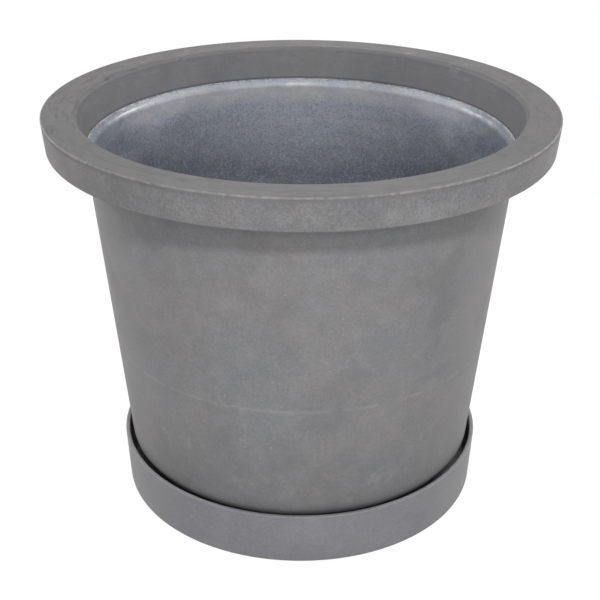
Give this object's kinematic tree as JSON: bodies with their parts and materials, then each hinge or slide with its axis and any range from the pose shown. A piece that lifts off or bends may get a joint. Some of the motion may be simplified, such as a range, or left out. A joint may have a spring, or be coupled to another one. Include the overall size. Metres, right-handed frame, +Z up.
{
  "type": "self watering planter",
  "caption": "Heavy-rimmed round planter standing in a deep saucer reservoir, with a lift-out insert of wicking cups, a fill tube and a float gauge.",
  "frame": {"origin": "centre of the saucer's underside, on the ground", "axes": "+Z up; the fill tube and the float gauge stand inside at the front, on the -Y side; the overflow plug is at the back, on the +Y side"},
  "size_m": [0.5077, 0.5078, 0.4141],
  "materials": {
    "pot_polyethylene": "rotomoulded, fine sand-like matte",
    "saucer_polyethylene": "rotomoulded, fine sand-like matte",
    "plug_polypropylene": "moulded satin",
    "seal_rubber": "smooth matte",
    "insert_polypropylene": "moulded, fine spark-eroded grain",
    "tube_plastic": "extruded satin",
    "cap_polypropylene": "moulded satin",
    "pin_steel": "drawn wire",
    "guide_acetal": "turned",
    "clear_plastic": "clear polished",
    "float_foam": "closed-cell foam",
    "rod_acetal": "extruded",
    "marker_red": "moulded gloss"
  },
  "bodies": {
    "saucer": {"saucer": "saucer_polyethylene"},
    "pot": {"pot_shell": "pot_polyethylene"},
    "insert": {"separator_plate": "insert_polypropylene", "wicking_cup_1": "insert_polypropylene", "wicking_cup_2": "insert_polypropylene", "wicking_cup_3": "insert_polypropylene", "wicking_cup_4": "insert_polypropylene", "fill_tube": "tube_plastic", "fill_tube_nut": "insert_polypropylene", "foot_strainer": "insert_polypropylene", "fill_collar": "cap_polypropylene", "flap_pin": "pin_steel", "float_cage": "insert_polypropylene", "gauge_tube": "tube_plastic", "rod_guide": "guide_acetal", "gauge_cap": "clear_plastic", "tube_clip": "insert_polypropylene"},
    "flap": {"fill_flap": "cap_polypropylene"},
    "float": {"float_block": "float_foam", "float_rod": "rod_acetal", "level_marker": "marker_red"},
    "overflow_plug": {"overflow_plug": "plug_polypropylene", "overflow_seal": "seal_rubber"}
  },
  "joints": [
    {"name": "pot_lift", "type": "slide", "parent": "saucer", "child": "pot", "axis": [0, 0, 1], "range_m": [0, 0.08]},
    {"name": "insert_lift", "type": "slide", "parent": "pot", "child": "insert", "axis": [0, 0, 1], "range_m": [0, 0.42]},
    {"name": "flap_hinge", "type": "hinge", "parent": "insert", "child": "flap", "pos_m": [-0.045, -0.14976, 0.3633], "axis": [1, 0, 0], "range_deg": [0, 110]},
    {"name": "float_rise", "type": "slide", "parent": "insert", "child": "float", "axis": [0, 0, 1], "range_m": [0, 0.026]},
    {"name": "plug_pull", "type": "slide", "parent": "saucer", "child": "overflow_plug", "axis": [0, 1, 0], "range_m": [0, 0.03]}
  ]
}
